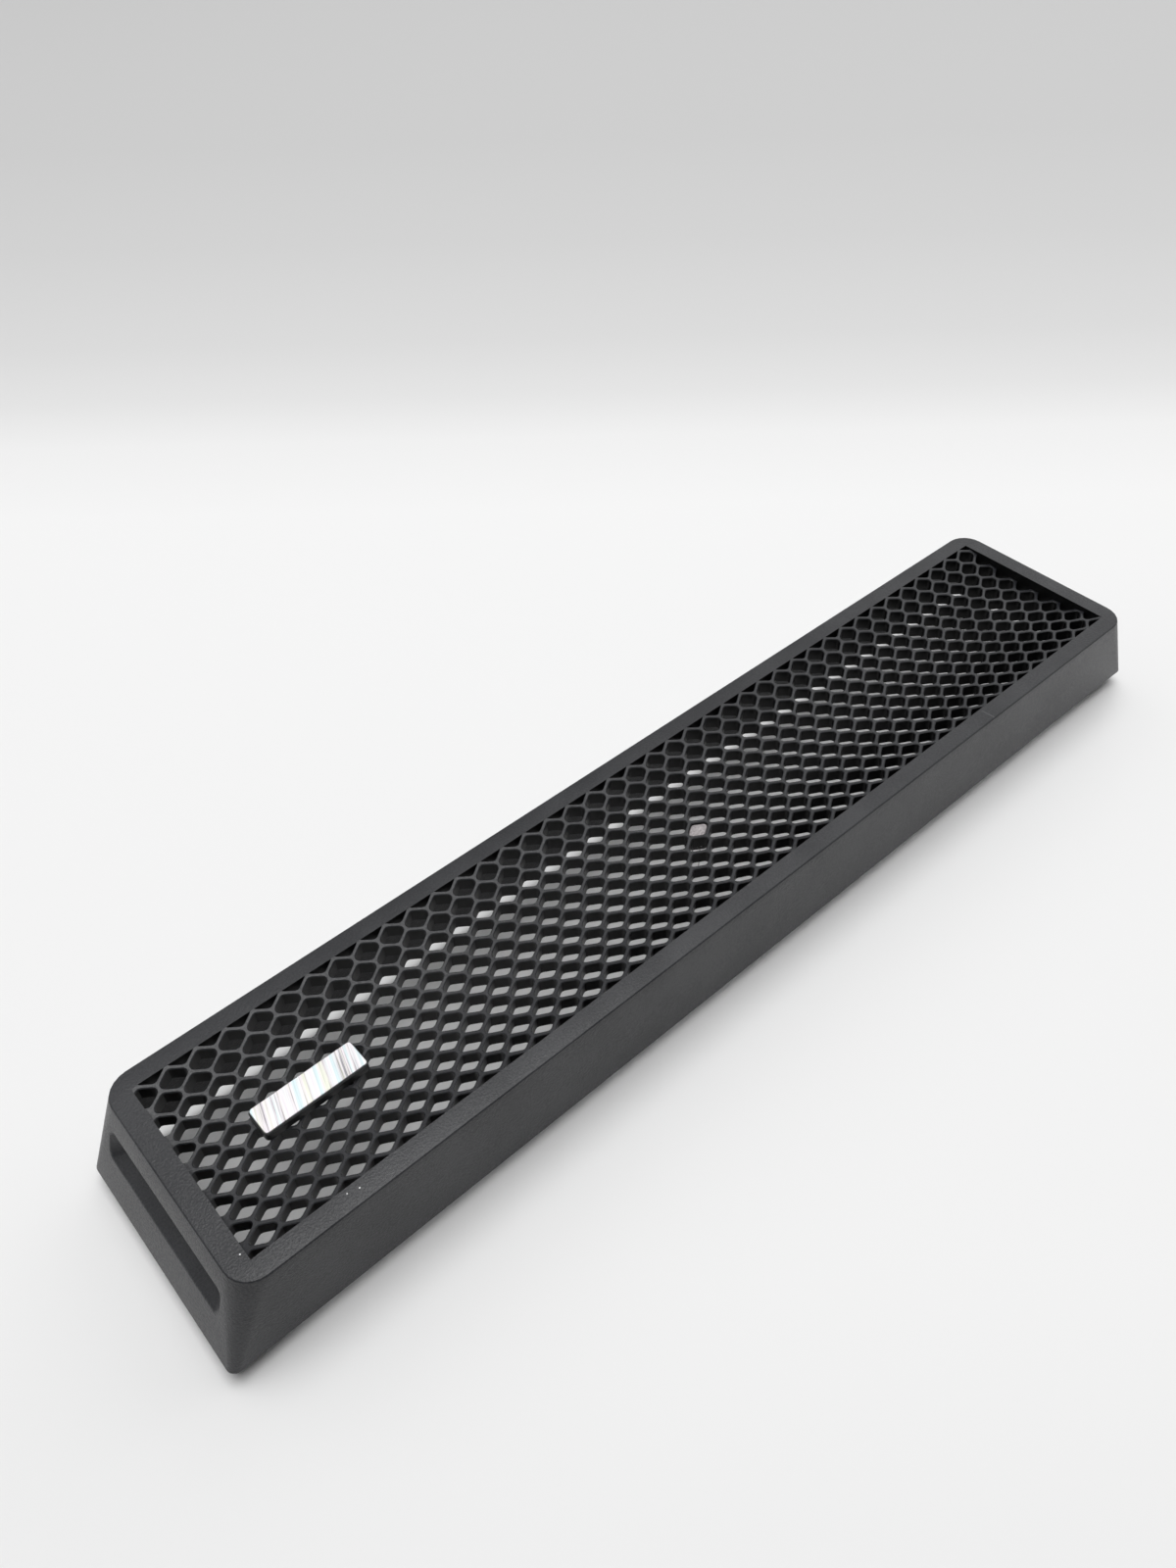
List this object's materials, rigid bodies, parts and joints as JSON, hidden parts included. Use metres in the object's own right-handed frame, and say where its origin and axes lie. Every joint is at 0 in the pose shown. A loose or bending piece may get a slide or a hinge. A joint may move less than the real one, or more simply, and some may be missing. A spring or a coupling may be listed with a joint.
{
  "type": "ups front bezel",
  "caption": "Black moulded rack bezel with a sunk honeycomb grille, finger scoops in the ends and snap hooks behind; it covers and ventilates a power supply's front.",
  "frame": {"origin": "middle of the footprint, at the tips of the snap hooks on which the bezel rests face up", "axes": "+X along the bezel, badge at -X; +Y up the rack; +Z out of the face"},
  "size_m": [0.446, 0.086, 0.0415],
  "materials": {
    "textured_black": "fine spark-eroded texture",
    "clear_lens": "frosted translucent",
    "badge_black": "satin",
    "brushed_plate": "brushed across"
  },
  "bodies": {
    "root": {"bezel_moulding": "textured_black", "light_pipe": "clear_lens", "badge_carrier": "badge_black", "badge_plate": "brushed_plate"}
  },
  "joints": []
}
